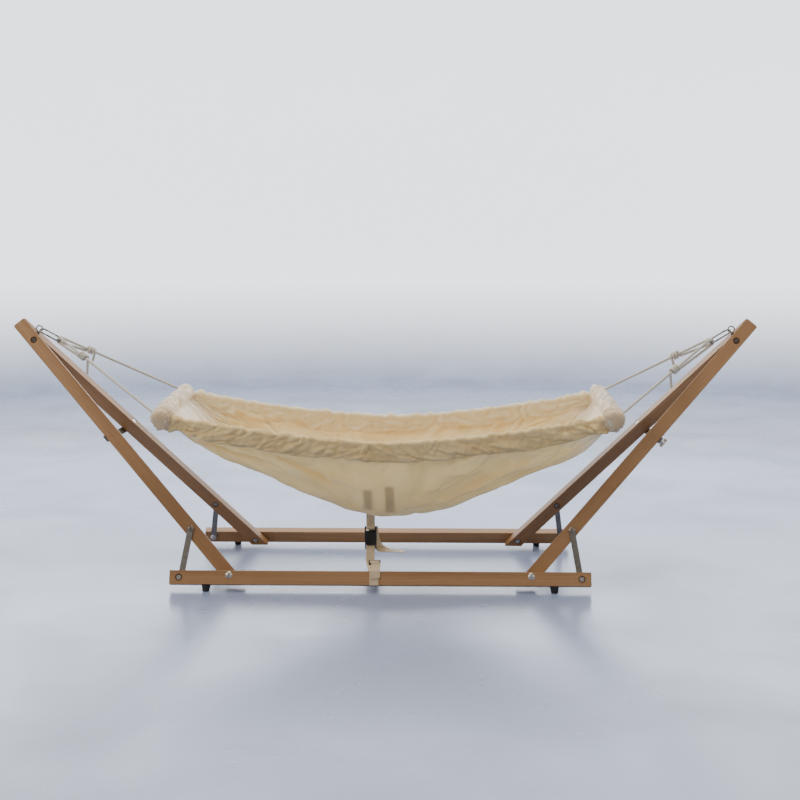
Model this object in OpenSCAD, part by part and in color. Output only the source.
// Baby cradle: a canvas sling on two spreader bars, hung by cords and snap
// hooks between the raised arms of a low timber stand.
// X runs along the cradle, Y from front to back, Z up. The origin is on the
// floor under the middle of the stand. Sizes are millimetres.

/* [Timber] */
// Height of the timber section, seen on the face of a rail or an arm
timber_h = 30; // [24:1:40]
// Thickness of the timber section
timber_t = 22; // [16:1:30]
// Rounding of the long edges
edge_r = 1.5; // [0.5:0.5:4]
// Rounding of the corners at the top end of an arm
corner_r = 4; // [1:1:10]

/* [Rails] */
// Length of a floor rail
rail_len = 900; // [840:10:1100]
// Distance between the outer bottom edges of the two rails
base_spread = 468; // [420:2:560]
// Height of a rail's outer bottom edge above the floor
rail_clear = 16; // [14:1:30]
// Angle at which each frame leans in to the other
lean = 20; // [16:0.5:24]

/* [Arms] */
// Angle of an arm to its rail, in the plane of the frame
arm_angle = 48.5; // [42:0.5:56]
// Distance of an arm's pivot bolt from the middle of the rail
pivot_x = 323; // [260:1:360]
// Height of the pivot bolt above the rail's bottom edge
pivot_up = 20.5; // [16:0.5:22]
// How far the arm's flat foot lies below the pivot bolt
arm_foot_drop = 12; // [9:1:15]
// Height of the top bolt above the place where the arms meet
top_up = 8; // [4:1:12]
// Length of an arm past its top bolt
arm_past_top = 57; // [30:1:70]

/* [Struts] */
// Width of a strut's flat bar
strut_w = 13; // [10:1:20]
// Thickness of the flat bar, and of the spacer washer beside it
strut_t = 3; // [2:0.5:5]
// Distance of the strut's foot bolt from the rail's end
strut_in = 20; // [15:1:40]
// Height of the strut's foot bolt above the rail's bottom edge
strut_up = 15; // [12:0.5:18]
// Distance of the strut's arm bolt from the arm's pivot, along the arm
strut_reach = 137; // [100:1:180]

/* [Bolts] */
// Diameter of every bolt in the timber
bolt_d = 6; // [5:1:8]
// Diameter of a domed head
dome_d = 15; // [12:1:18]
// Height of a domed head
dome_h = 3.2; // [2:0.2:5]
// Width across the flats of a hexagon nut
nut_af = 10; // [9:1:13]
// Thickness of a hexagon nut
nut_t = 5; // [4:0.5:7]
// Diameter of the counterbore round a nut or a socket head
sink_d = 15; // [13:0.5:18]
// Depth of the counterbore
sink_deep = 6; // [5:0.5:8]
// Radial clearance of a bolt in timber or steel
hole_gap = 0.2; // [0.1:0.05:0.5]
// Clearance between faces that are clamped together
seat_gap = 0.1; // [0.05:0.05:0.3]

/* [Cross tie] */
// Distance of the tie's bolt from the arm's pivot, along the arm
tie_reach = 421; // [300:1:520]
// Width of the tie's flat bar
tie_w = 15; // [12:1:25]
// Thickness of the tie's flat bar
tie_t = 4; // [3:0.5:6]
// Diameter of the counterbore in the arm's upper edge
tie_sink_d = 13; // [12:0.5:16]
// Span of the wing nut across its wings
wing_span = 22; // [18:1:30]

/* [Feet] */
// Distance of a foot from the middle of the rail
foot_x = 372; // [280:1:420]
// Diameter of a rubber foot at the rail
foot_top_d = 19; // [14:1:22]
// Diameter of the foot where it meets the floor
foot_low_d = 13; // [10:1:18]

/* [Eye links and hooks] */
// Thickness of an eye link, which the arms clamp between them
eye_t = 3; // [2:0.5:5]
// Outer diameter of the eye's ring
ring_d = 17; // [15:1:24]
// Height of the ring's centre above the top bolt
ring_up = 24.5; // [24:0.5:36]
// Distance of the ring's centre inwards from the top bolt
ring_in = 7.5; // [6:0.5:18]
// Outer length of a snap hook
hook_len = 56; // [50:1:70]
// Outer width of a snap hook
hook_w = 25; // [24:1:34]
// Diameter of the hook's wire
hook_wire = 4; // [3.5:0.1:4.6]
// Turn of the hook about its length, away from edge-on
hook_turn = 17; // [0:1:30]
// Diameter of the gate's rod
gate_d = 3.4; // [2.6:0.1:3.6]
// Gap between the hook's wire and the ring that it hangs in
hook_gap = 0.3; // [0.2:0.1:0.6]

/* [Sling] */
// Distance from the sling's middle to each spreader bar
bar_u = 494; // [440:1:520]
// Height of the spreader bars above the floor
bar_z = 380; // [360:1:420]
// Shift of the sling along the stand, as its cords are knotted
bed_shift = 14; // [0:1:30]
// Roll of the sling towards the front, as its cords are knotted
bed_roll = 4.5; // [0:0.5:8]
// Height of the axis of that roll
bed_mid_z = 250; // [200:5:300]
// Height of the rim at the sling's middle
rim_z = 321; // [300:1:350]
// Height of the rim beside the bars
rim_end_z = 374; // [360:1:385]
// Height of the sling's lowest point
keel_z = 121; // [100:1:160]
// Distance of the lowest point from the sling's middle, to the right
keel_at = 18; // [-30:1:40]
// Half width of the sling at its middle
half_w = 152; // [144:1:190]
// Half width of the sling at the bars
half_w_end = 150; // [146:1:160]
// Thickness of the canvas, with its ease
cloth_t = 2; // [1.5:0.5:3]
// Height of the ruffled casing along each rim
band_h = 38; // [25:1:45]
// Thickness of each of the casing's two sides
band_t = 2.5; // [2:0.5:4]
// Depth of the casing's ruffles
ruffle = 2.5; // [0:0.5:4]
// Length of a ruffle along the rim
ruffle_run = 61; // [50:1:90]

/* [Spreader bars] */
// Diameter of a spreader bar
bar_d = 22; // [18:1:28]
// Length of a spreader bar
bar_len = 330; // [320:2:360]
// Distance of a cord's hole from the bar's end
bar_hole_in = 10; // [8:1:16]
// Length of the gathered sleeve on a bar
sleeve_len = 324; // [300:2:330]
// Thickness of the gathered sleeve
sleeve_t = 4.5; // [3:0.5:6]

/* [Cords] */
// Diameter of a cord
cord_d = 6; // [5:0.5:6]
// Turns of a cord's hitch
hitch_turns = 2.75; // [1.75:1:3.75]
// Advance of the hitch at each turn
hitch_pitch = 6.6; // [6.5:0.1:8]
// Distance of the left front cord's hitch from the hook
hitch_left_front = 68; // [50:1:120]
// Distance of the left back cord's hitch from the hook
hitch_left_back = 60; // [50:1:120]
// Distance of the right front cord's hitch from the hook
hitch_right_front = 112; // [50:1:120]
// Distance of the right back cord's hitch from the hook
hitch_right_back = 74; // [50:1:120]
// Length of the loose ends of the left front and right front cords
long_tail = 32; // [20:1:45]
// Length of the loose ends of the back cords
short_tail = 16; // [12:1:30]

/* [Tether] */
// Width of the tether's webbing
web_w = 20; // [15:1:25]
// Thickness of the webbing
web_t = 1.4; // [1:0.1:2]
// Length of the webbing from the sling's keel to the buckle
stub_len = 38; // [24:1:50]
// Width of the buckle over its shell
buckle_w = 28; // [25:1:36]
// Thickness of the buckle
buckle_t = 8; // [7:0.5:11]
// Place of the tether along the rail, from the middle
tether_rail_x = -12; // [-60:1:60]
// Place of the tether along the sling, from the sling's middle
tether_u = -44; // [-80:1:40]

/* [Hidden] */
$fn = 48;

// Colours, as the object shows them
c_timber = [0.62, 0.46, 0.31];
c_steel = [0.45, 0.44, 0.42];
c_bright = [0.74, 0.74, 0.72];
c_canvas = [0.86, 0.78, 0.62];
c_gather = [0.90, 0.86, 0.78];
c_cord = [0.84, 0.80, 0.72];
c_black = [0.10, 0.10, 0.11];

// The layers of a frame, counted inwards from the rail's outer face
arm_d = timber_t + strut_t;             // outer face of an arm
arm_in = arm_d + timber_t;              // inner face of an arm
arm_mid = arm_d + timber_t / 2;         // middle of an arm's thickness

// The arms lean until their inner faces meet the eye link, below the top bolt
meet_v = (base_spread / 2 - eye_t / 2 - arm_in * cos(lean)) / sin(lean);
top_z = rail_clear + meet_v * cos(lean) - arm_in * sin(lean) + top_up;
// The bolt enters an arm's outer face on the arm's middle line
top_v = (top_z - rail_clear + arm_d * sin(lean)) / cos(lean);
top_x = pivot_x + (top_v - pivot_up) / tan(arm_angle);
arm_reach = (top_v - pivot_up) / sin(arm_angle);
top_out = base_spread / 2 - top_v * sin(lean) - arm_d * cos(lean);
sink_y = top_out - sink_deep - 2;       // floor of its counterbore
eye_x = top_x - ring_in;
eye_z = top_z + ring_up;
eye_wire = eye_t;

// Where the strut's upper bolt lies in the frame
strut_top = [pivot_x + strut_reach * cos(arm_angle), pivot_up + strut_reach * sin(arm_angle)];
strut_low = [rail_len / 2 - strut_in, strut_up];

bolt_r = bolt_d / 2;
hole_r = bolt_r + hole_gap;
big = 400;

// ---------------------------------------------------------------- helpers

// Stands the drawing of one corner, drawn at the front left, at any corner
module corner(right, back) {
    mirror([right ? 1 : 0, 0, 0]) mirror([0, back ? 1 : 0, 0]) children();
}

module each_corner() {
    for (right = [false, true]) for (back = [false, true]) corner(right, back) children();
}

// The front frame's plane: x along the rail, y inwards from the rail's
// outer face, z up the slope from the rail's outer bottom edge
module in_frame() {
    translate([0, -base_spread / 2, rail_clear]) rotate([-lean, 0, 0]) children();
}

// The front left arm's own axes: x up the arm from its pivot bolt, y
// inwards from the arm's outer face, z towards the arm's lower edge
module in_arm() {
    in_frame() translate([-pivot_x, arm_d, pivot_up]) rotate([0, 180 + arm_angle, 0]) children();
}

module along_y(y0, len, r) {
    translate([0, y0, 0]) rotate([-90, 0, 0]) cylinder(h = len, r = r);
}

// A square-edged rectangle with true arcs at its corners, centred
module soft_square(w, h, r) {
    union() {
        square([w - 2 * r, h], center = true);
        square([w, h - 2 * r], center = true);
        for (x = [-1, 1]) for (y = [-1, 1])
            translate([x * (w / 2 - r), y * (h / 2 - r)]) circle(r = r, $fn = 24);
    }
}

// A length of timber along X from x0, y from 0 to its thickness, z centred
module timber(x0, len) {
    translate([x0, timber_t / 2, 0]) rotate([90, 0, 90])
        linear_extrude(len) soft_square(timber_t, timber_h, edge_r);
}

// A domed bolt whose head stands on y = 0 and whose shank runs along +y
module dome_bolt(len) {
    difference() {
        union() {
            rotate([90, 0, 0]) rotate_extrude() dome_profile();
            along_y(-0.1, len + 0.1, bolt_r);
        }
        translate([0, -dome_h - 1, 0]) rotate([-90, 0, 0]) cylinder(h = dome_h, r = bolt_r * 0.72, $fn = 6);
    }
}

// Half the outline of a domed head, as a segment of a circle
module dome_profile() {
    ball = (dome_d * dome_d / 4 + dome_h * dome_h) / (2 * dome_h);
    intersection() {
        translate([0, dome_h - ball]) circle(r = ball, $fn = 96);
        square([dome_d / 2, dome_h]);
    }
}

// A hexagon nut from y = 0 to its thickness
module hex_nut() {
    rotate([-90, 0, 0]) difference() {
        cylinder(h = nut_t, d = nut_af / cos(30), $fn = 6);
        translate([0, 0, -1]) cylinder(h = nut_t + 2, r = bolt_r + 0.05);
    }
}

// Flattens a list of rows into one list of points
function flat(rows) = [for (row = rows) for (p = row) p];
function unit(v) = v / norm(v);

// A closed shell between two grids of points with the same rows and columns
module shell(outer, inner) {
    ni = len(outer);
    nj = len(outer[0]);
    o = function (i, j) i * nj + j;
    q = function (i, j) ni * nj + i * nj + j;
    faces = concat(
        [for (i = [0:ni - 2]) for (j = [0:nj - 2]) each [
            [o(i, j), o(i, j + 1), o(i + 1, j + 1)], [o(i, j), o(i + 1, j + 1), o(i + 1, j)],
            [q(i, j), q(i + 1, j + 1), q(i, j + 1)], [q(i, j), q(i + 1, j), q(i + 1, j + 1)]]],
        [for (i = [0:ni - 2]) each [
            [o(i, 0), o(i + 1, 0), q(i + 1, 0)], [o(i, 0), q(i + 1, 0), q(i, 0)],
            [o(i, nj - 1), q(i + 1, nj - 1), o(i + 1, nj - 1)],
            [o(i, nj - 1), q(i, nj - 1), q(i + 1, nj - 1)]]],
        [for (j = [0:nj - 2]) each [
            [o(0, j), q(0, j + 1), o(0, j + 1)], [o(0, j), q(0, j), q(0, j + 1)],
            [o(ni - 1, j), o(ni - 1, j + 1), q(ni - 1, j + 1)],
            [o(ni - 1, j), q(ni - 1, j + 1), q(ni - 1, j)]]]);
    polyhedron(concat(flat(outer), flat(inner)), faces);
}

// The sideways axes carried along a route without twist
function carried(dirs, i, prev) =
    i >= len(dirs) ? [] :
    let (n = unit(prev - (prev * dirs[i]) * dirs[i])) concat([n], carried(dirs, i + 1, n));

// A round tube along a route of points
module tube(route, r, sides) {
    last = len(route) - 1;
    dirs = [for (i = [0:last]) unit(route[min(i + 1, last)] - route[max(i - 1, 0)])];
    first = abs(dirs[0].z) < 0.8 ? [0, 0, 1] : [0, 1, 0];
    ups = carried(dirs, 0, first);
    points = [for (i = [0:last]) for (k = [0:sides - 1])
        route[i] + r * (cos(k * 360 / sides) * ups[i] + sin(k * 360 / sides) * cross(dirs[i], ups[i]))];
    p = function (i, k) i * sides + k % sides;
    faces = concat(
        [for (i = [0:last - 1]) for (k = [0:sides - 1]) each [
            [p(i, k), p(i + 1, k), p(i + 1, k + 1)], [p(i, k), p(i + 1, k + 1), p(i, k + 1)]]],
        [for (k = [1:sides - 2]) each [
            [p(0, 0), p(0, k), p(0, k + 1)], [p(last, 0), p(last, k + 1), p(last, k)]]]);
    polyhedron(points, faces);
}

// ------------------------------------------------------------------ stand

module rail() {
    color(c_timber) in_frame() difference() {
        translate([0, 0, timber_h / 2]) timber(-rail_len / 2, rail_len);
        for (s = [-1, 1]) {
            translate([s * pivot_x, 0, pivot_up]) along_y(-1, timber_t + 2, hole_r);
            translate([s * strut_low.x, 0, strut_up]) {
                along_y(-1, timber_t + 2, hole_r);
                along_y(-1, sink_deep + 1, sink_d / 2);
            }
            translate([s * foot_x, timber_t / 2, -1]) cylinder(h = screw_in + 1, r = screw_r + 0.1);
        }
    }
}

module arm() {
    color(c_timber) difference() {
        in_arm() difference() {
            intersection() {
                timber(-timber_h * 2, timber_h * 2 + arm_reach + arm_past_top);
                // the side view, with its top corners rounded
                translate([-timber_h * 2, timber_t + 1, 0]) rotate([90, 0, 0])
                    linear_extrude(timber_t + 2) arm_outline();
            }
            along_y(-1, timber_t + 2, hole_r);
            along_y(timber_t - sink_deep, sink_deep + 1, sink_d / 2);
            translate([strut_reach, 0, 0]) {
                along_y(-1, timber_t + 2, hole_r);
                along_y(timber_t - sink_deep, sink_deep + 1, sink_d / 2);
            }
            translate([tie_reach, timber_t / 2, -timber_h]) {
                cylinder(h = timber_h * 2, r = hole_r);
                cylinder(h = timber_h / 2 + sink_deep, r = tie_sink_d / 2);
            }
        }
        // the foot is cut level with the rail
        in_frame() translate([-big * 2, 0, pivot_up - arm_foot_drop - big]) cube([big * 3, big, big]);
        // the inner face is cut upright where it meets the eye link
        translate([-big * 3, -eye_t / 2 - seat_gap, top_z - big / 2]) cube([big * 3, big, big]);
        translate([-top_x, 0, top_z]) {
            along_y(-big / 4, big / 4, hole_r);
            along_y(-sink_y - big / 4, big / 4, sink_d / 2);
        }
    }
}

module arm_outline() {
    len = timber_h * 2 + arm_reach + arm_past_top;
    union() {
        translate([0, -timber_h / 2]) square([len - corner_r, timber_h]);
        translate([0, corner_r - timber_h / 2]) square([len, timber_h - 2 * corner_r]);
        for (s = [-1, 1]) translate([len - corner_r, s * (timber_h / 2 - corner_r)]) circle(r = corner_r);
    }
}

module strut() {
    run = strut_top - strut_low;
    color(c_steel) in_frame() translate([-strut_low.x, timber_t + seat_gap, strut_low.y])
        rotate([0, -90 - atan2(run.x, run.y), 0]) difference() {
            union() {
                along_y(0, strut_t - 2 * seat_gap, strut_w / 2);
                translate([0, 0, -strut_w / 2]) cube([norm(run), strut_t - 2 * seat_gap, strut_w]);
                translate([norm(run), 0, 0]) along_y(0, strut_t - 2 * seat_gap, strut_w / 2);
            }
            along_y(-1, strut_t + 2, hole_r);
            translate([norm(run), 0, 0]) along_y(-1, strut_t + 2, hole_r);
        }
}

// A domed bolt through a rail and an arm, head on the rail's outer face
pivot_bolt_len = arm_in - sink_deep + nut_t + 0.5;
module pivot_bolts() {
    color(c_bright) each_corner() in_frame() translate([-pivot_x, -seat_gap, pivot_up]) dome_bolt(pivot_bolt_len);
}

module pivot_nuts() {
    color(c_bright) each_corner() in_frame()
        translate([-pivot_x, arm_in - sink_deep + seat_gap, pivot_up]) hex_nut();
}

module pivot_washers() {
    color(c_steel) each_corner() in_frame() translate([-pivot_x, timber_t + seat_gap, pivot_up]) difference() {
        along_y(0, strut_t - 2 * seat_gap, dome_d / 2);
        along_y(-1, strut_t + 2, hole_r);
    }
}

// A domed bolt through a strut's foot and the rail, head on the inside
module strut_foot_bolts() {
    color(c_bright) each_corner() in_frame() translate([-strut_low.x, arm_d, strut_up])
        rotate([0, 0, 180]) dome_bolt(arm_d - sink_deep + nut_t + 0.2);
}

module strut_foot_nuts() {
    color(c_bright) each_corner() in_frame()
        translate([-strut_low.x, sink_deep - nut_t - seat_gap, strut_up]) hex_nut();
}

// A domed bolt through a strut's top and the arm, head on the outside
module strut_arm_bolts() {
    color(c_bright) each_corner() in_frame() translate([-strut_top.x, timber_t, strut_top.y])
        dome_bolt(strut_t + timber_t - sink_deep + nut_t + 0.5);
}

module strut_arm_nuts() {
    color(c_bright) each_corner() in_frame()
        translate([-strut_top.x, arm_in - sink_deep + seat_gap, strut_top.y]) hex_nut();
}

// A socket-headed bolt through both arms and the eye link
module top_bolts() {
    color(c_bright) for (right = [false, true]) corner(right, false) translate([-top_x, 0, top_z]) difference() {
        union() {
            along_y(-sink_y - bolt_d, bolt_d - seat_gap, nut_af / 2);
            along_y(-sink_y - bolt_d / 2, 2 * sink_y + bolt_d / 2 + nut_t + 1, bolt_r);
        }
        translate([0, -sink_y - bolt_d - 1, 0]) rotate([-90, 0, 0]) cylinder(h = 4, r = bolt_r * 0.9, $fn = 6);
    }
}

module top_nuts() {
    color(c_bright) for (right = [false, true]) corner(right, false)
        translate([-top_x, sink_y + seat_gap, top_z]) hex_nut();
}

// A forged link: a boss on the top bolt, a shank, and a wire ring
module eye_link() {
    rise = norm([ring_in, ring_up]);
    ring_mid = (ring_d - eye_wire) / 2;
    color(c_steel) translate([-top_x, 0, top_z]) rotate([0, atan2(ring_in, ring_up), 0]) difference() {
        union() {
            along_y(-eye_t / 2, eye_t, bolt_d);
            translate([-eye_t, -eye_t / 2, 0]) cube([2 * eye_t, eye_t, rise - ring_mid]);
            translate([0, 0, rise]) rotate([90, 0, 0]) rotate_extrude()
                translate([ring_mid, 0]) circle(d = eye_wire, $fn = 24);
        }
        along_y(-eye_t, 2 * eye_t, hole_r);
        translate([0, 0, rise]) along_y(-eye_t, 2 * eye_t, ring_mid - eye_wire / 2);
    }
}

// ---------------------------------------------------------------- the tie

// The arms' lower faces tilt by this much about the tie's own width
tie_bend = asin(cos(arm_angle) * sin(lean));
tie_dip = atan2(sin(arm_angle), cos(arm_angle) * cos(lean));
// The middle of an arm's lower face at the tie, in the frame's plane
tie_s = pivot_x + tie_reach * cos(arm_angle) + timber_h / 2 * sin(arm_angle);
tie_v = pivot_up + tie_reach * sin(arm_angle) - timber_h / 2 * cos(arm_angle);
tie_y = base_spread / 2 - tie_v * sin(lean) - arm_mid * cos(lean);
tie_z = rail_clear + tie_v * cos(lean) - arm_mid * sin(lean);
tie_over = timber_t / 2 + 3;            // how far an end plate reaches from its bolt
tie_edge = timber_t / 2 + 1;            // where the bar bends, from its bolt

// Axes of the left tie: x along Y, y away from the arms, z across the bar
module in_tie() {
    multmatrix([[0, -sin(tie_dip), -cos(tie_dip), -tie_s], [1, 0, 0, 0],
        [0, -cos(tie_dip), sin(tie_dip), tie_z], [0, 0, 0, 1]]) children();
}

module cross_tie() {
    c = cos(tie_bend);
    s = sin(tie_bend);
    top = [[-tie_y - tie_over * c, -tie_over * s], [-tie_y + tie_edge * c, tie_edge * s],
        [tie_y - tie_edge * c, tie_edge * s], [tie_y + tie_over * c, -tie_over * s]];
    color(c_steel) difference() {
        in_tie() translate([0, seat_gap, -tie_w / 2]) linear_extrude(tie_w)
            polygon(concat(top, [for (i = [3:-1:0]) top[i] + [0, tie_t / c]]));
        for (back = [false, true]) corner(false, back) in_arm()
            translate([tie_reach, timber_t / 2, timber_h / 2 - 1]) {
                cylinder(h = tie_t + 3, r = hole_r);
                translate([0, 0, 1 + seat_gap + tie_t - 2.8])
                    cylinder(h = 3.2, r1 = hole_r, r2 = hole_r + 3.2);
            }
    }
}

wing_boss = 7;                          // height of the wing nut's boss
wing_seat = timber_h / 2 + tie_t + 3 * seat_gap;

// Countersunk bolts, flush under the tie, but a plain stud at the front right
module tie_bolts() {
    color(c_bright) for (right = [false, true]) for (back = [false, true])
        corner(right, back) in_arm() translate([tie_reach, timber_t / 2, 0]) {
            if (right && !back) tie_shank(wing_seat + wing_boss + 3); else tie_countersunk();
        }
}

// The shank from its nut, in the arm's upper edge, down to a height
module tie_shank(end) {
    start = -timber_h / 2 + sink_deep - nut_t - 0.8;
    translate([0, 0, start]) cylinder(h = end - start, r = bolt_r);
}

module tie_countersunk() {
    difference() {
        union() {
            tie_shank(timber_h / 2 + tie_t - 0.8);
            translate([0, 0, timber_h / 2 + seat_gap + tie_t - 2.8])
                cylinder(h = 2.8, r1 = bolt_r, r2 = bolt_r + 2.8);
        }
        translate([0, 0, timber_h / 2 + tie_t - 1.8]) cylinder(h = 4, r = bolt_r * 0.6, $fn = 6);
    }
}

module tie_nuts() {
    color(c_bright) each_corner() in_arm()
        translate([tie_reach, timber_t / 2, -timber_h / 2 + sink_deep - nut_t - seat_gap])
            rotate([90, 0, 0]) hex_nut();
}

// A wing nut below the front right end of the tie
module tie_wing_nut() {
    boss_r = nut_af / 2 - 0.4;
    color(c_bright) corner(true, false) in_arm()
        translate([tie_reach, timber_t / 2, wing_seat]) difference() {
            union() {
                cylinder(h = wing_boss, r1 = boss_r + 1.5, r2 = boss_r);
                rotate([90, 0, 0]) translate([0, 0, -1.2]) linear_extrude(2.4) wings();
            }
            translate([0, 0, -1]) cylinder(h = 2 * wing_boss, r = bolt_r + 0.1);
        }
}

// The side view of the wings: two rounded ears that rise from the boss
module wings() {
    for (s = [-1, 1]) translate([s * (wing_span / 2 - 4), 6]) circle(r = 4);
    for (s = [-1, 1]) polygon([[0, 0.5], [s * 4, 0.5], [s * (wing_span / 2 - 1.2), 3.2],
        [s * (wing_span / 2 - 6), 9.4], [0, 5]]);
}

// ------------------------------------------------------------------- feet

screw_r = 2;
screw_in = 18;
foot_len = rail_clear / cos(lean);

// Rubber buttons square to the sloping rail, with their soles cut level
module rubber_feet() {
    color(c_black) each_corner() difference() {
        in_frame() translate([-foot_x, timber_t / 2, -foot_len]) difference() {
            cylinder(h = foot_len - seat_gap, d1 = foot_low_d, d2 = foot_top_d);
            translate([0, 0, -1]) cylinder(h = foot_len + 1, r = screw_r + 0.1);
            translate([0, 0, -1]) cylinder(h = foot_len - 4, r = screw_r * 2 + 0.2);
        }
        translate([-foot_x - big / 2, -base_spread, -big]) cube([big, base_spread, big]);
    }
}

module foot_screws() {
    color(c_steel) each_corner() in_frame() translate([-foot_x, timber_t / 2, -5 + seat_gap]) difference() {
        union() {
            translate([0, 0, -2.2]) cylinder(h = 2.1, r = screw_r * 2);
            translate([0, 0, -1]) cylinder(h = 5 + screw_in - 1, r = screw_r);
        }
        translate([0, 0, -3.2]) cylinder(h = 2, r = screw_r * 0.6, $fn = 6);
    }
}

// -------------------------------------------------------------- the sling

// The sling is drawn level and square, then shifted and rolled as it hangs
module in_bed() {
    translate([bed_shift, 0, bed_mid_z]) rotate([bed_roll, 0, 0]) translate([0, 0, -bed_mid_z]) children();
}

function bed_point(p) = [p.x + bed_shift,
    p.y * cos(bed_roll) - (p.z - bed_mid_z) * sin(bed_roll),
    p.y * sin(bed_roll) + (p.z - bed_mid_z) * cos(bed_roll) + bed_mid_z];

bar_r = bar_d / 2;
sleeve_r = bar_r + 0.3 + sleeve_t;
// The canvas leaves the sleeve at 45 degrees under the bar
lip = (sleeve_r + 1 + cloth_t) * cos(45);
end_u = bar_u - lip;
end_z = bar_z - lip;

// Height of the rim, and of the keel below it, at a place along the sling
keel_bend = 189;                        // how gently the keel turns at its lowest point
keel_slope = 0.61;                      // slope of the keel's flanks
tub_u = 424;                            // where the keel starts to rise to the bar
rim_flat_u = 450;                       // where the rim's height is measured, near the bars
rim_cut = 3;                            // how far the canvas stops short of the rim
dip_u = 440;                            // where the rim starts to dip under the sleeve
function free_rim(u) = rim_z + (rim_end_z - rim_z) * pow(abs(u) / rim_flat_u, 1.56);
function rim(u) = free_rim(u)
    - (free_rim(end_u) - end_z - rim_cut - 0.3) * pow(max(0, abs(u) - dip_u) / (end_u - dip_u), 3);
function flank(u) = keel_z + keel_slope * (norm([u - keel_at, keel_bend]) - keel_bend);
function keel(u) = flank(u)
    + (end_z - flank(sign(u) * end_u)) * pow(max(0, abs(u) - tub_u) / (end_u - tub_u), 6.6);
function breadth(u) = half_w_end + (half_w - half_w_end) * cos(90 * u / end_u);
// The section grows squarer towards the bars
function square_by(u) = 2.2 + 3 * pow(abs(u) / end_u, 4);

// The gathers at the bars run on into the canvas as folds
fold_deep = 5;
fold_count = 6;
function fold(u, turn) = abs(turn) > 0.8 ? 0 : fold_deep * sin(180 * pow(abs(u) / end_u, 3))
    * (1 - pow(turn / 0.8, 4)) * (0.5 - 0.5 * cos(180 * fold_count * turn));

// A point of the section: turn runs from -1 at the front rim to 1 at the back
// The section's angle at a depth below the rim, and the turn that gives it
function angle_at(u, deep) = acos(pow(min(0.95, deep / (rim(u) - keel(u))), square_by(u) / 2));
function turn_at(u, deep) = angle_at(u, deep) / angle_at(u, rim_cut);
function section(u, turn, inset) =
    let (d = rim(u) - keel(u), e = 2 / square_by(u), a = turn * angle_at(u, rim_cut),
        lost = inset + fold(u, turn), b = breadth(u) - lost, h = d - lost)
    [u, b * sign(a) * pow(abs(sin(a)), e), rim(u) - h * pow(abs(cos(a)), e)];

// A place on the canvas between its grid's columns, counted from the keel
columns = 12;
function on_wall(u, k, inset) = let (low = floor(k), part = k - low)
    (1 - part) * section(u, low / columns, inset) + part * section(u, (low + 1) / columns, inset);

patch_u = tether_u + 48;                // the second strip of webbing
sling_us = [-end_u, -470, -452, -424, -384, -336, -276, -208, -130, -80,
    tether_u - web_w / 2, tether_u + web_w / 2, patch_u - web_w / 2, patch_u + web_w / 2,
    80, 130, 208, 276, 336, 384, 424, 452, 470, end_u];
sling_turns = [for (k = [-columns:columns]) k / columns];

module sling() {
    color(c_canvas) in_bed() shell(
        [for (u = sling_us) [for (t = sling_turns) section(u, t, 0)]],
        [for (u = sling_us) [for (t = sling_turns) section(u, t, cloth_t)]]);
}

// A place on the canvas between its grid's rows and columns
function row_below(u) = max([for (i = [0:len(sling_us) - 2]) if (sling_us[i] <= u) i]);
function skin(u, k, inset) = let (i = row_below(u), part = (u - sling_us[i]) / (sling_us[i + 1] - sling_us[i]))
    (1 - part) * on_wall(sling_us[i], k, inset) + part * on_wall(sling_us[i + 1], k, inset);

// The casing straddles the rim: up the outside, over, and down the inside.
// grow is the distance from its lining to the surface that is drawn.
band_end = 466;
band_steps = 62;
band_gap = 0.8;
band_puff = 4;                          // how far it stands off the canvas at its ends
function band_wave(u) = ruffle * (0.5 + 0.5 * sin(u * 360 / ruffle_run + 40 * sin(u * 127 / ruffle_run)));
function band_row(u, grow) =
    let (wave = band_wave(u), proud = band_puff * pow(u / band_end, 4),
        out = -band_gap - proud - (grow > 0 ? grow + wave : 0),
        in = cloth_t + band_gap + (grow > 0 ? grow + wave * 0.7 : 0),
        k_low = columns * turn_at(u, band_h + wave * 0.8), k_mid = (k_low + columns) / 2,
        up = [0, 0, band_gap + (grow > 0 ? grow + wave * 0.6 : 0)])
    [skin(u, k_low, out), skin(u, k_mid, out), skin(u, columns, out * 0.9) + up,
        skin(u, columns, in * 0.9) + up, skin(u, k_mid, in), skin(u, k_low, in)];

module band() {
    us = [for (i = [0:band_steps]) band_end * (2 * i / band_steps - 1)];
    color(c_canvas) shell([for (u = us) band_row(u, band_t)], [for (u = us) band_row(u, 0)]);
}

module band_front() { in_bed() mirror([0, 1, 0]) band(); }
module band_back() { in_bed() band(); }

// The end of the canvas, gathered in a sleeve round a spreader bar
gathers = 17;
module sleeve(right) {
    step = sleeve_len / gathers / 2;
    color(c_gather) difference() {
        in_bed() translate([right ? bar_u : -bar_u, 0, bar_z]) rotate([90, 0, 0]) rotate_extrude()
            polygon(concat([[bar_r + 0.3, -sleeve_len / 2]],
                [for (i = [0:2 * gathers]) [sleeve_r - (i % 2 == 0 ? 1.2 : 0), -sleeve_len / 2 + i * step]],
                [[bar_r + 0.3, sleeve_len / 2]]));
        cord_holes(right);
    }
}

// ------------------------------------------------------- hooks and cords

// All that follows is worked out for the left end. The right end is its
// mirror image, with the distance to its own spreader bar.
hook_r = (hook_w - hook_wire) / 2;      // bend of the hook's ends
hook_run = hook_len - hook_wire - 2 * hook_r;
hook_seat = ring_d / 2 - eye_wire - hook_gap - hook_wire / 2;
cord_r = cord_d / 2;
lane = cord_r + 0.15;                   // each cord's place across the hook
knot_r = cord_r * 1.8;                  // the stopper knot under the sleeve

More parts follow.
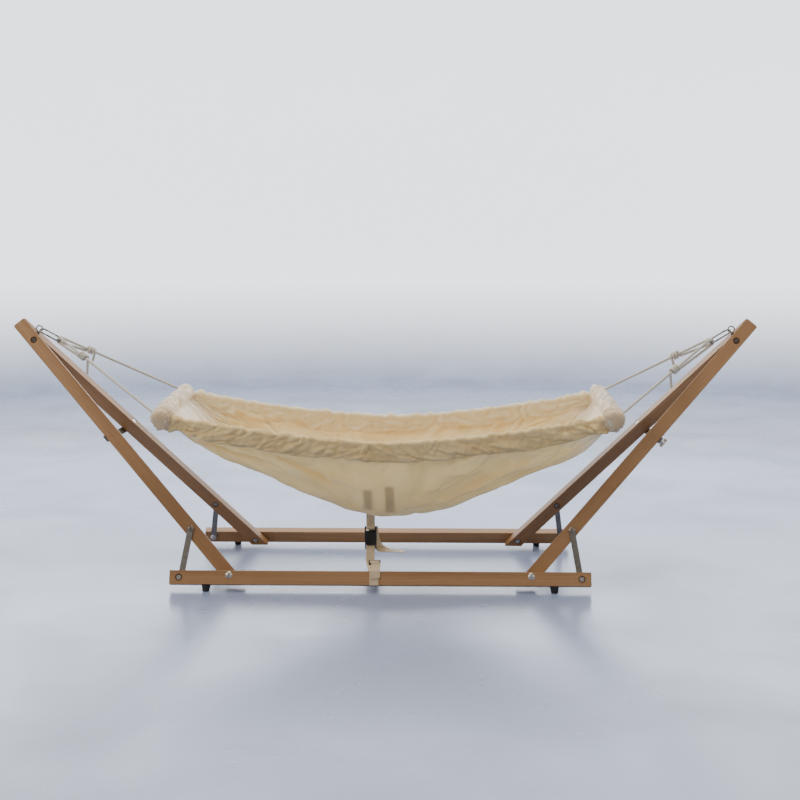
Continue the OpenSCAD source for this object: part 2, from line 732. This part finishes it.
// Middle of the spreader bar at one end, as seen from the left
function bar_mid(right) = let (p = bed_point([(right ? 1 : -1) * bar_u, 0, bar_z]))
    [right ? -p.x : p.x, p.y, p.z];
eye = [-eye_x, 0, eye_z];
function pull(right) = let (p = bar_mid(right)) unit([p.x + eye_x, 0, p.z - eye_z]);
function hook_across(right) = cos(hook_turn) * [0, 1, 0] + sin(hook_turn) * cross(pull(right), [0, 1, 0]);
function hook_up(right) = cross(pull(right), hook_across(right));
function hook_point(right, x, w, n) =
    eye + (hook_seat + x) * pull(right) + w * hook_across(right) + n * hook_up(right);

// The hook's own axes: x away from the ring, y across, z out of its plane
module in_hook(right) {
    d = pull(right);
    w = hook_across(right);
    n = hook_up(right);
    o = hook_point(right, 0, 0, 0);
    mirror([right ? 1 : 0, 0, 0])
        multmatrix([[d.x, w.x, n.x, o.x], [d.y, w.y, n.y, o.y], [d.z, w.z, n.z, o.z], [0, 0, 0, 1]]) children();
}

nose_x = hook_r + 4;                    // the hook's nose, where its gate closes
pin_x = hook_r + hook_run - 2;          // the gate's pin
pin_r = 0.6;
ear_len = 5;                            // the ears, from the pin to their ends
ear_gap = 1.8;                          // the slot that holds the gate's eye
eye_flat_r = 1.5;                       // the gate's flat eye

module rod(x0, x1, w, r) {
    translate([x0, w, 0]) rotate([0, 90, 0]) cylinder(h = x1 - x0, r = r, $fn = 24);
}

module bend(x, from) {
    translate([x, 0, 0]) rotate([0, 0, from]) rotate_extrude(angle = 180)
        translate([hook_r, 0]) circle(d = hook_wire, $fn = 24);
}

module snap_hook(right) {
    color(c_steel) in_hook(right) difference() {
        union() {
            bend(hook_r, 90);
            bend(hook_r + hook_run, -90);
            rod(hook_r, hook_r + hook_run, -hook_r, hook_wire / 2);
            rod(hook_r, nose_x, hook_r, hook_wire / 2);
            rod(pin_x - ear_len, hook_r + hook_run, hook_r, hook_wire / 2);
        }
        translate([pin_x - ear_len - 1, hook_r - hook_wire, -ear_gap / 2])
            cube([ear_len + 1 + eye_flat_r + 0.8, 2 * hook_wire, ear_gap]);
        translate([pin_x, hook_r, -hook_wire]) cylinder(h = 2 * hook_wire, r = pin_r + 0.02, $fn = 24);
    }
}

module gate_pins() {
    color(c_bright) for (right = [false, true]) in_hook(right)
        translate([pin_x, hook_r, -hook_wire / 2 + 0.1]) cylinder(h = hook_wire - 0.2, r = pin_r, $fn = 24);
}

// The gate's rod ends in a flat eye on the pin
module gate(right) {
    color(c_steel) in_hook(right) difference() {
        union() {
            rod(nose_x + 0.4, pin_x - ear_len - 0.6, hook_r, gate_d / 2);
            translate([pin_x - ear_len - 0.8, hook_r - eye_flat_r, -ear_gap / 2 + 0.1])
                cube([ear_len + 0.8, 2 * eye_flat_r, ear_gap - 0.2]);
            translate([pin_x, hook_r, -ear_gap / 2 + 0.1]) cylinder(h = ear_gap - 0.2, r = eye_flat_r, $fn = 24);
        }
        translate([pin_x, hook_r, -hook_wire]) cylinder(h = 2 * hook_wire, r = pin_r + 0.06, $fn = 24);
    }
}

// Each cord runs from a stopper knot through its spreader bar, up to the
// hook, round the hook's wire, back along itself, and ends in a hitch whose
// turns wind round its own standing part. hitch_at is the distance of the
// hitch from the hook, and tail the length of its loose end.
hook_cord_x = hook_r + hook_run + sqrt(hook_r * hook_r - lane * lane);
loop_r = hook_wire / 2 + cord_r + 1;    // bend of the cord round the wire
hitch_r = cord_d + 0.5;                 // turns of the hitch, round the standing part
hitch_ease = 4;                         // bend from the strand into the first turn
hitch_steps = 14;                       // rings in a turn

function cord_end(right, s) =
    let (p = bed_point([(right ? 1 : -1) * bar_u, s * (bar_len / 2 - bar_hole_in), bar_z]))
    [right ? -p.x : p.x, p.y, p.z];

function cord_route(right, s, hitch_at, tail) =
    let (low = cord_end(right, s), up = hook_point(right, hook_cord_x, s * lane, loop_r),
        down = hook_point(right, hook_cord_x, s * lane, -loop_r),
        e = unit(low - up), side = down - up, q = unit(side - (side * e) * e), r = s * cross(e, q),
        run = norm(low - up), slope = hitch_pitch / (2 * PI * hitch_r), steep = 90 - atan(slope),
        on = function (a, turn) up + a * e + hitch_r * (cos(turn) * q + sin(turn) * r),
        turned = hitch_ease * (1 - cos(steep)), risen = hitch_ease * sin(steep),
        first = turned / hitch_r * 180 / PI, last = 360 * hitch_turns,
        count = floor(hitch_steps * (last - first) / 360),
        a_of = function (turn) hitch_at + risen + slope * hitch_r * (turn - first) * PI / 180,
        out = unit(on(a_of(last), last) - on(a_of(last - 1), last - 1)),
        standing = floor(run / 17))
    concat(
        [up + (run + (sleeve_r + 1) / norm([e.x, e.z])) * e],
        [for (i = [0:standing - 1]) up + (run * (1 - i / standing)) * e],
        [for (k = [0:6]) hook_point(right, hook_cord_x - loop_r * sin(k * 30), s * lane, loop_r * cos(k * 30))],
        [for (k = [1:3]) down + (on(hitch_at - 2, 0) - down) * k / 3],
        [for (k = [0:3]) let (b = steep * k / 3)
            on(hitch_at + hitch_ease * sin(b), hitch_ease * (1 - cos(b)) / hitch_r * 180 / PI)],
        [for (i = [1:count]) let (turn = first + (last - first) * i / count) on(a_of(turn), turn)],
        [for (k = [1:4]) on(a_of(last), last) + tail * k / 4 * out]);

// The least gap between stretches of one cord that aren't next to each other
function least_gap(route) = min([for (i = [0:len(route) - 1]) for (j = [i + 4:1:len(route) - 1])
    let (way = norm(route[i] - route[j])) way > 0 && j - i > 5 ? way - cord_d : 100]);

module cord(right, s, hitch_at, tail) {
    route = cord_route(right, s, hitch_at, tail);
    low = cord_end(right, s);
    e = unit(low - route[1 + floor(norm(low - hook_point(right, hook_cord_x, s * lane, loop_r)) / 17)]);
    echo(rings = len(route), least_gap = least_gap(route));
    color(c_cord) mirror([right ? 1 : 0, 0, 0]) {
        tube(route, cord_r, 6);
        translate(low + (sleeve_r + 0.2 + knot_r) / norm([e.x, e.z]) * e) sphere(r = knot_r, $fn = 24);
    }
}

module spreader(right) {
    color(c_timber) difference() {
        in_bed() mirror([right ? 1 : 0, 0, 0]) translate([-bar_u, 0, bar_z]) along_y(-bar_len / 2, bar_len, bar_r);
        cord_holes(right);
    }
}

// The two cords' ways through a spreader bar and its sleeve
module cord_holes(right) {
    for (s = [-1, 1]) mirror([right ? 1 : 0, 0, 0]) {
        low = cord_end(right, s);
        e = unit(low - hook_point(right, hook_cord_x, s * lane, loop_r));
        translate(low) rotate([0, acos(e.z), atan2(e.y, e.x)])
            cylinder(h = bar_d * 3, r = cord_r + 0.3, center = true);
    }
}

// ------------------------------------------------------------- the tether

// The tether hangs from the keel, then lies slack to the front rail
keel_point = bed_point([tether_u, 0, keel(tether_u)]);
hang_x = keel_point.x;
hang_y = keel_point.y;
stub_top = min([for (s = [-1, 1]) let (u = tether_u + s * web_w / 2) bed_point([u, 0, keel(u)]).z]) - 0.3;
stub_low = stub_top - stub_len;
socket_len = 28;
plug_len = 20;                          // length of the plug outside its socket
plug_top = stub_low - socket_len;
buckle_low = plug_top - plug_len;
bar_thin = 1.4;                         // radius of the buckle's strap bars
side_in = web_w / 2 + 0.8;              // inner side of the buckle's legs
web_off = bar_thin + 0.3 + web_t / 2;   // webbing's middle from a bar's middle

// A flat strap along a route, its width along X, of even thickness in bends
module strap(route, w, t) {
    last = len(route) - 1;
    dirs = [for (i = [0:last]) unit(route[min(i + 1, last)] - route[max(i - 1, 0)])];
    legs = [for (i = [0:last]) unit(route[min(i + 1, last)] - route[min(i, last - 1)])];
    ups = [for (i = [0:last]) unit(cross([1, 0, 0], dirs[i])) / max(0.6, dirs[i] * legs[i])];
    shell([for (i = [0:last]) [for (s = [-1, 1]) route[i] + [s * w / 2, 0, 0] + t / 2 * ups[i]]],
        [for (i = [0:last]) [for (s = [-1, 1]) route[i] + [s * w / 2, 0, 0] - t / 2 * ups[i]]]);
}

// Strips of webbing sewn inside the sling, on the front wall over the keel
patch_gap = 0.3;
module tether_patches() {
    color(c_canvas) in_bed() {
        patch(tether_u, -7.4, -6);
        patch(patch_u, -8, -4.2);
    }
}

module patch(u, low, high) {
    ks = concat([low], [for (k = [floor(low) + 1:ceil(high) - 1]) k], [high]);
    ends = [u - web_w / 2, u + web_w / 2];
    shell([for (v = ends) [for (k = ks) on_wall(v, k, cloth_t + patch_gap)]],
        [for (v = ends) [for (k = ks) on_wall(v, k, cloth_t + patch_gap + web_t)]]);
}

// The webbing folds round the socket's bar and is sewn to itself
stub_route = [[0.85, 18], [0.85, 9], [web_off, 3.4], [web_off, 1.2], [0.7 * web_off, -0.3], [0, 1.4 - web_off],
    [-0.7 * web_off, -0.3], [-web_off, 1.2], [-web_off, 3.4], [-0.85, 9], [-0.85, stub_len]];
module tether_stub() {
    color(c_gather) strap([for (p = stub_route) [hang_x, hang_y + p.x, stub_low + p.y]], web_w, web_t);
}

module slab(w, t, h) {
    linear_extrude(h) soft_square(w, t, min(2.5, t / 2 - 0.1));
}

module strap_bar(z) {
    translate([-side_in - 1, 0, z]) rotate([0, 90, 0]) cylinder(h = 2 * side_in + 2, r = bar_thin);
}

// The socket: a flat shell, open at its mouth and sides, with a strap bar
// between two ears
module buckle_socket() {
    wall = 1.6;
    color(c_black) translate([hang_x, hang_y, stub_low]) {
        difference() {
            translate([0, 0, -socket_len]) slab(buckle_w, buckle_t, socket_len + 6);
            // the mouth for the plug
            translate([-buckle_w / 2 + 4, -buckle_t / 2 + wall, -socket_len - 1])
                cube([buckle_w - 8, buckle_t - 2 * wall, socket_len - 6]);
            // the side windows for the plug's catches
            translate([-buckle_w, -buckle_t / 2 + wall, -socket_len + 6])
                cube([2 * buckle_w, buckle_t - 2 * wall, 10]);
            // the gap between the ears
            translate([-side_in, -buckle_t, -4.5]) cube([2 * side_in, 2 * buckle_t, 20]);
        }
        strap_bar(1.5);
    }
}

// The plug: a plate with two springy catches and a guide, and a strap bar
// between two legs
module buckle_plug() {
    thick = buckle_t - 1.5;
    tongue_t = buckle_t - 4;
    color(c_black) translate([hang_x, hang_y, plug_top]) {
        difference() {
            translate([0, 0, -plug_len]) slab(buckle_w - 1, thick, plug_len - 0.3);
            translate([-side_in, -buckle_t, -plug_len - 1]) cube([2 * side_in, 2 * buckle_t, plug_len - 9]);
        }
        strap_bar(2.5 - plug_len);
        for (s = [-1, 1]) {
            translate([s * (buckle_w / 2 - 6.4) - 1.4, -tongue_t / 2, -1]) cube([2.8, tongue_t, 12]);
            translate([s * (buckle_w / 2 - 4.4) - 2, -tongue_t / 2, 7]) cube([4, tongue_t, 7]);
        }
        translate([-1.6, -tongue_t / 2, -1]) cube([3.2, tongue_t, 17]);
    }
}

// The slider stands over the rail, where the strap ends in a loop round it
slider_rise = 21;                       // the slider's middle, above the rail's top
slider_tilt = 40;
slider_w = web_w + 6;
slider_bar = 3.6;                       // width of its middle bar and of its slots
slider_len = 15;
slider_t = 2.6;
slider_mid = [timber_t, timber_h + slider_rise];
web_gap = 0.3 + web_t / 2;              // webbing's middle from what it lies on

// A place in the frame's plane, from the slider's own axes: along, and out
function by_slider(a, n) = slider_mid
    + a * [cos(slider_tilt), sin(slider_tilt)] + n * [-sin(slider_tilt), cos(slider_tilt)];

module tether_slider() {
    color(c_black) in_frame() translate([tether_rail_x, slider_mid.x, slider_mid.y]) rotate([slider_tilt, 0, 0])
        translate([0, 0, -slider_t / 2]) difference() {
            linear_extrude(slider_t) soft_square(slider_w, slider_len, 2);
            for (s = [-1, 1]) translate([-side_in, s * slider_bar - slider_bar / 2, -1])
                cube([2 * side_in, slider_bar, slider_t + 2]);
        }
}

// The webbing's way over the slider's middle bar and down through a slot
slot_way = [[0.2, 2.4], [1.6, 2.4], [3.3, 1.2], [3.5, -1], [4.6, -2.7], [8.2, -2.7]];

// Points in the frame's plane at one side of a timber edge, round its corner
function round_edge(c, r, a0, a1, n) = [for (i = [0:n]) let (a = a0 + (a1 - a0) * i / n) c + r * [cos(a), sin(a)]];
// The angle at which a line from a point meets a circle
function tangent(p, c, r, side) = atan2(p.y - c.y, p.x - c.x) + side * acos(r / norm(p - c));

edge_mid = [edge_r, timber_h - edge_r]; // middle of the rail's outer top edge
edge_inner = [timber_t - edge_r, timber_h - edge_r];
loop_from = by_slider(-slot_way[5].x, slot_way[5].y);
loop_to = by_slider(-6.5, -5.2);
loop_turn = edge_r + web_gap;
module tether_rail_loop() {
    ring = concat([for (p = slot_way) by_slider(-p.x, p.y)],
        round_edge(edge_mid, loop_turn, tangent(loop_from, edge_mid, loop_turn, 1), 180, 3),
        round_edge([edge_r, edge_r], loop_turn, 180, 270, 3),
        round_edge([timber_t - edge_r, edge_r], loop_turn, 270, 360, 3),
        round_edge(edge_inner, loop_turn, 0, tangent(loop_to, edge_inner, loop_turn, -1), 2), [loop_to]);
    color(c_gather) in_frame() strap([for (p = ring) [tether_rail_x, p.x, p.y]], web_w, web_t);
}

// The loop's loose end lies over it on the rail's face
loop_end_up = 13;                       // its end, above the rail's bottom edge
module tether_loop_end() {
    turn = loop_turn + web_t + 0.3;
    from = by_slider(-9.8, 0.4);
    way = concat([by_slider(-5.4, 2.7), by_slider(-7.4, 2.5), from],
        round_edge(edge_mid, turn, tangent(from, edge_mid, turn, 1), 180, 3),
        [[edge_r - turn, loop_end_up]]);
    color(c_gather) in_frame() strap([for (p = way) [tether_rail_x + 3, p.x, p.y]], web_w, web_t);
}

// Route of the strap: down the plug's back, out in front of its bar, slack
// above the floor, and up through the slider
function frame_place(p) = [tether_rail_x, -base_spread / 2 + p.x * cos(lean) + p.y * sin(lean),
    rail_clear - p.x * sin(lean) + p.y * cos(lean)];
plug_way = [[4.3, -7], [4.3, -10], [1.5, -13.2], [-2.4, -16.5], [-2.8, -20], [-4, -26]];
slack = [[-30, -14, 24], [-28, -32, 15], [-24, -62, 12], [-20, -100, 12], [-16, -138, 14]];
rise = [[-1, 30, -36], [0, 14, -26]];   // its last points, from the slider's middle
module tether_strap() {
    route = concat([for (p = plug_way) [hang_x, hang_y + p.x, plug_top + p.y]], slack,
        [for (p = rise) frame_place(slider_mid) + p],
        [for (i = [5:-1:0]) frame_place(by_slider(slot_way[i].x, slot_way[i].y))]);
    color(c_gather) strap(route, web_w, web_t);
}

// The strap's loose end: up behind the buckle, over, down again, and out to
// the right with a twist. Each row is a place and the way its width points.
tail_rows = [[[1, 5.2, -33], [1, 0, 0]], [[3, 5.6, -20], [1, 0, 0]], [[5, 6, -4], [1, 0, 0]],
    [[6, 7.6, 3], [1, 0, 0]], [[6.5, 10.4, 3], [1, 0, 0]], [[7, 11.5, -6], [1, 0, 0]],
    [[9, 11.5, -22], [1, 0, 0.1]], [[14, 11, -37], [0.8, 0.1, 0.6]], [[22, 9, -47], [0.4, 0.5, 0.75]],
    [[34, 6, -51], [0, 0.9, 0.4]], [[48, 3, -52], [0, 1, 0.1]], [[64, 0, -53], [0.05, 1, 0]],
    [[80, -3, -54], [0.05, 1, 0]]];
module tether_tail() {
    last = len(tail_rows) - 1;
    at = [for (r = tail_rows) [hang_x, hang_y, stub_low] + r[0]];
    dirs = [for (i = [0:last]) unit(at[min(i + 1, last)] - at[max(i - 1, 0)])];
    acrosses = [for (i = [0:last]) let (w = tail_rows[i][1]) unit(w - (w * dirs[i]) * dirs[i])];
    color(c_gather) shell(
        [for (i = [0:last]) [for (s = [-1, 1])
            at[i] + s * web_w / 2 * acrosses[i] + web_t / 2 * cross(acrosses[i], dirs[i])]],
        [for (i = [0:last]) [for (s = [-1, 1])
            at[i] + s * web_w / 2 * acrosses[i] - web_t / 2 * cross(acrosses[i], dirs[i])]]);
}

// ------------------------------------------------------------------ nodes

rail();  // rail_front
corner(false, true) rail();  // rail_back
arm();  // arm_front_left
corner(true, false) arm();  // arm_front_right
corner(false, true) arm();  // arm_back_left
corner(true, true) arm();  // arm_back_right
strut();  // strut_front_left
corner(true, false) strut();  // strut_front_right
corner(false, true) strut();  // strut_back_left
corner(true, true) strut();  // strut_back_right
pivot_bolts();
pivot_nuts();
pivot_washers();
strut_foot_bolts();
strut_foot_nuts();
strut_arm_bolts();
strut_arm_nuts();
top_bolts();
top_nuts();
eye_link();  // eye_link_left
corner(true, false) eye_link();  // eye_link_right
cross_tie();  // cross_tie_left
corner(true, false) cross_tie();  // cross_tie_right
tie_bolts();
tie_nuts();
tie_wing_nut();
rubber_feet();
foot_screws();
sling();
band_front();
band_back();
sleeve(false);  // sleeve_left
sleeve(true);  // sleeve_right
spreader(false);  // spreader_left
spreader(true);  // spreader_right
cord(false, -1, hitch_left_front, long_tail);  // cord_left_front
cord(false, 1, hitch_left_back, short_tail);  // cord_left_back
cord(true, -1, hitch_right_front, long_tail);  // cord_right_front
cord(true, 1, hitch_right_back, short_tail);  // cord_right_back
snap_hook(false);  // snap_hook_left
snap_hook(true);  // snap_hook_right
gate_pins();
gate(false);  // gate_left
gate(true);  // gate_right
tether_patches();
tether_stub();
buckle_socket();
buckle_plug();
tether_strap();
tether_tail();
tether_slider();
tether_rail_loop();
tether_loop_end();
